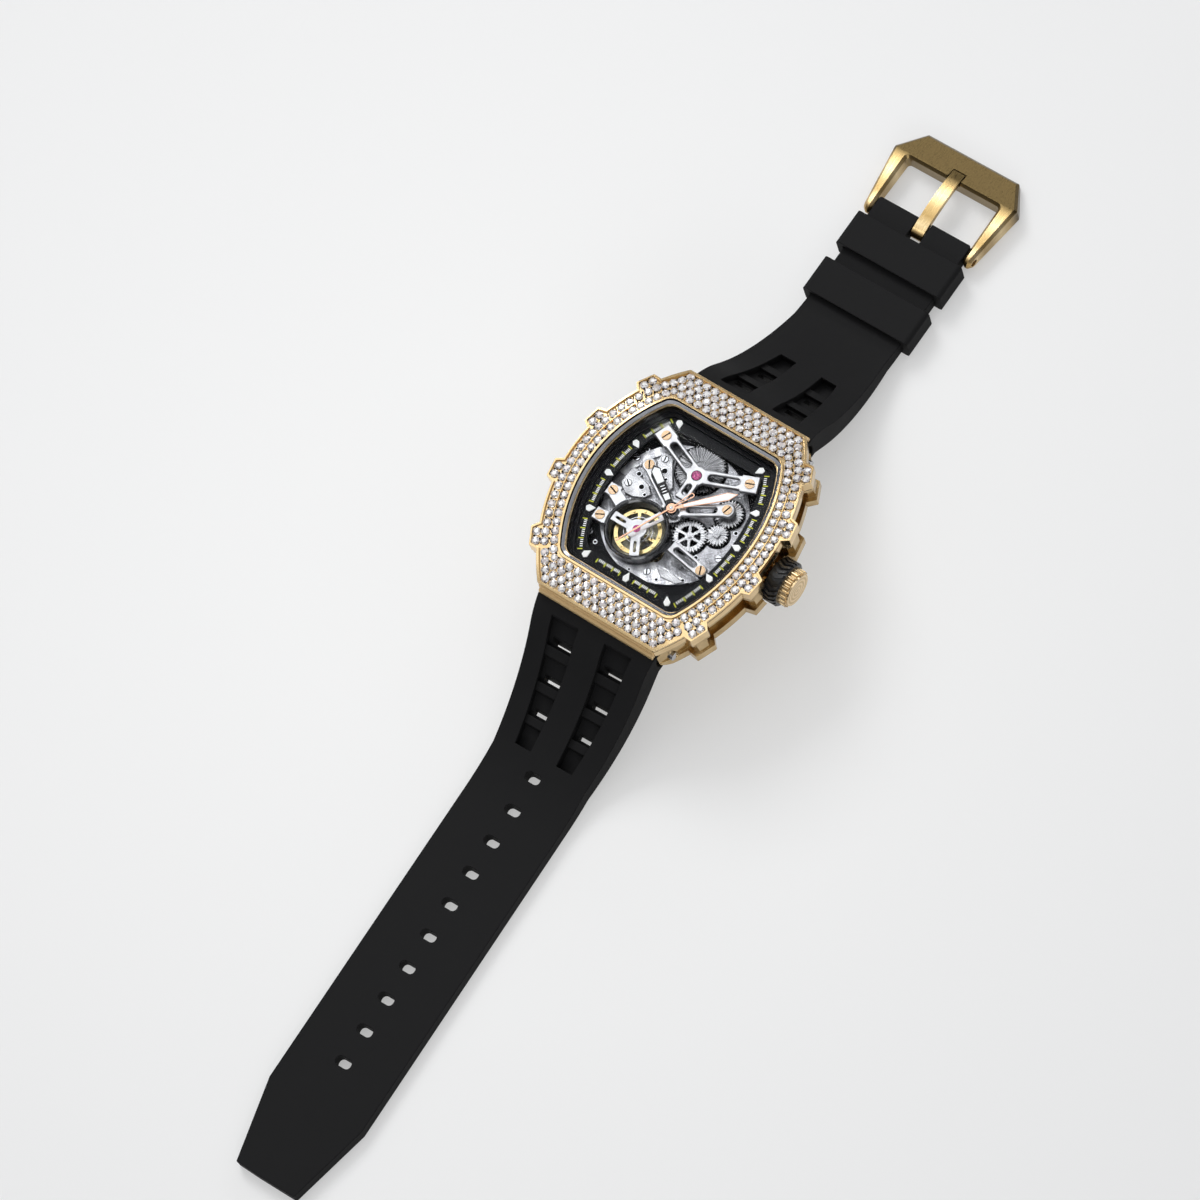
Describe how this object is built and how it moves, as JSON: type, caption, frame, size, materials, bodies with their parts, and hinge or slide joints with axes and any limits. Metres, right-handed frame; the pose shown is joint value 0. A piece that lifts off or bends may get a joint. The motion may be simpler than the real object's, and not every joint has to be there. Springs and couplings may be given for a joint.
{
  "type": "tonneau_watch",
  "caption": "Tonneau wristwatch with stone-set gold bezel, skeleton dial, grooved crown and black rubber strap with pin buckle, lying open",
  "frame": {"origin": "centre of the flat outer face of the case back", "axes": "+X points to the crown at 3 o'clock, +Y along the strap to the buckle at 12 o'clock, +Z out of the dial"},
  "size_m": [0.0509, 0.2359, 0.0267],
  "materials": {
    "gold": "polished champagne gold plating with brushed flanks",
    "stone": "faceted clear crystal stones",
    "black_rubber": "matte black moulded rubber",
    "glass": "clear domed crystal",
    "black_gloss": "gloss black lacquer",
    "lume": "white luminous filling",
    "plate_steel": "bead-blasted silver-grey steel with bevelled edges",
    "steel": "fine brushed steel",
    "rose_gold": "polished rose gold",
    "ruby": "polished synthetic ruby",
    "brass": "gilt brass wheels"
  },
  "bodies": {
    "case": {"bezel": "gold", "bezel_stones": "stone", "bezel_gasket": "black_rubber", "front_crystal": "glass", "crystal_gasket": "steel", "mid_case": "gold", "back_bezel": "gold", "back_gasket": "black_rubber", "back_screws": "steel", "back_crystal": "glass", "back_crystal_gasket": "black_rubber", "strap_bar_upper": "steel", "strap_bar_lower": "steel", "chapter_ring": "black_gloss", "hour_markers": "lume", "movement_holder": "black_gloss", "mainplate": "plate_steel", "y_bridge": "plate_steel", "v_bridge": "plate_steel", "balance_bar": "plate_steel", "ring_clamps": "plate_steel", "bridge_screws": "rose_gold", "jewels": "ruby", "balance_ring": "black_gloss", "balance_cage": "plate_steel", "pallet_fork": "steel", "auto_bridge": "plate_steel", "rotor_nut": "steel", "crown_tube": "steel"},
    "seconds": {"seconds_wheel": "brass", "second_hand": "rose_gold"},
    "minutes": {"cannon_pinion": "steel", "minute_hand": "rose_gold"},
    "hours": {"hour_wheel": "brass", "hour_hand": "rose_gold"},
    "third": {"third_wheel": "brass"},
    "setting": {"setting_wheel": "steel"},
    "crown_wheel_body": {"crown_wheel": "steel"},
    "barrel_body": {"barrel": "brass"},
    "escape": {"escape_wheel": "brass"},
    "balance": {"balance_wheel": "brass", "balance_staff": "steel", "hairspring": "steel"},
    "rotor_body": {"rotor": "steel"},
    "crown_slide": {"setting_lever": "steel"},
    "crown": {"winding_stem": "steel", "crown_cap": "gold", "crown_ring": "black_rubber"},
    "winding": {"winding_pinion": "steel"},
    "lower_strap": {"strap_lower": "black_rubber"},
    "upper_strap": {"strap_upper": "black_rubber", "fixed_keeper": "black_rubber", "buckle_bar": "steel"},
    "keeper": {"free_keeper": "black_rubber"},
    "buckle": {"buckle_frame": "gold"},
    "tongue": {"buckle_tongue": "gold"}
  },
  "joints": [
    {"name": "seconds_turn", "type": "hinge", "parent": "case", "child": "seconds", "pos_m": [0, 0, 0.0094], "axis": [0, 0, -1], "continuous": true},
    {"name": "minutes_turn", "type": "hinge", "parent": "case", "child": "minutes", "pos_m": [0, 0, 0.0094], "axis": [0, 0, -1], "continuous": true},
    {"name": "hours_turn", "type": "hinge", "parent": "case", "child": "hours", "pos_m": [0, 0, 0.0094], "axis": [0, 0, -1], "continuous": true},
    {"name": "third_turn", "type": "hinge", "parent": "case", "child": "third", "pos_m": [0.00505, -0.00218, 0.0094], "axis": [0, 0, -1], "continuous": true},
    {"name": "setting_turn", "type": "hinge", "parent": "case", "child": "setting", "pos_m": [0.0093, 0.00064, 0.0094], "axis": [0, 0, -1], "continuous": true},
    {"name": "crown_wheel_turn", "type": "hinge", "parent": "case", "child": "crown_wheel_body", "pos_m": [0.00881, 0.00521, 0.0094], "axis": [0, 0, -1], "continuous": true},
    {"name": "barrel_turn", "type": "hinge", "parent": "case", "child": "barrel_body", "pos_m": [-0.0008, 0.0098, 0.0094], "axis": [0, 0, -1], "continuous": true},
    {"name": "escape_turn", "type": "hinge", "parent": "case", "child": "escape", "pos_m": [0.00092, -0.00811, 0.0094], "axis": [0, 0, -1], "continuous": true},
    {"name": "balance_swing", "type": "hinge", "parent": "case", "child": "balance", "pos_m": [-0.0035, -0.0065, 0.0094], "axis": [0, 0, -1], "range_deg": [-150, 150], "stiffness_Nm_per_rad": 0.000001},
    {"name": "rotor_turn", "type": "hinge", "parent": "case", "child": "rotor_body", "pos_m": [0, 0, 0.0035], "axis": [0, 0, -1], "continuous": true},
    {"name": "crown_pull", "type": "slide", "parent": "case", "child": "crown_slide", "axis": [1, 0, 0], "range_m": [0, 0.0012]},
    {"name": "crown_turn", "type": "hinge", "parent": "crown_slide", "child": "crown", "pos_m": [0.024, 0, 0.0072], "axis": [1, 0, 0], "continuous": true},
    {"name": "winding_turn", "type": "hinge", "parent": "case", "child": "winding", "pos_m": [0.014, 0, 0.0072], "axis": [1, 0, 0], "continuous": true},
    {"name": "strap_lower_flex", "type": "hinge", "parent": "case", "child": "lower_strap", "pos_m": [0, -0.022, 0.0058], "axis": [1, 0, 0], "range_deg": [0, 35]},
    {"name": "strap_upper_flex", "type": "hinge", "parent": "case", "child": "upper_strap", "pos_m": [0, 0.022, 0.0058], "axis": [-1, 0, 0], "range_deg": [0, 35]},
    {"name": "keeper_slide", "type": "slide", "parent": "upper_strap", "child": "keeper", "axis": [0, 1, 0], "range_m": [-0.002, 0.003]},
    {"name": "buckle_swing", "type": "hinge", "parent": "upper_strap", "child": "buckle", "pos_m": [0, 0.0767, -0.00945], "axis": [1, 0, 0], "range_deg": [0, 60]},
    {"name": "tongue_swing", "type": "hinge", "parent": "buckle", "child": "tongue", "pos_m": [0, 0.0767, -0.00945], "axis": [1, 0, 0], "range_deg": [0, 40]}
  ],
  "couplings": [
    {"joint": "minutes_turn", "follows": "seconds_turn", "ratio": 0.016667},
    {"joint": "hours_turn", "follows": "seconds_turn", "ratio": 0.0013889},
    {"joint": "third_turn", "follows": "seconds_turn", "ratio": -0.77419},
    {"joint": "setting_turn", "follows": "seconds_turn", "ratio": 1.2},
    {"joint": "crown_wheel_turn", "follows": "seconds_turn", "ratio": -0.92308},
    {"joint": "barrel_turn", "follows": "seconds_turn", "ratio": -0.0020833},
    {"joint": "escape_turn", "follows": "seconds_turn", "ratio": -10},
    {"joint": "winding_turn", "follows": "crown_turn", "ratio": 1}
  ]
}
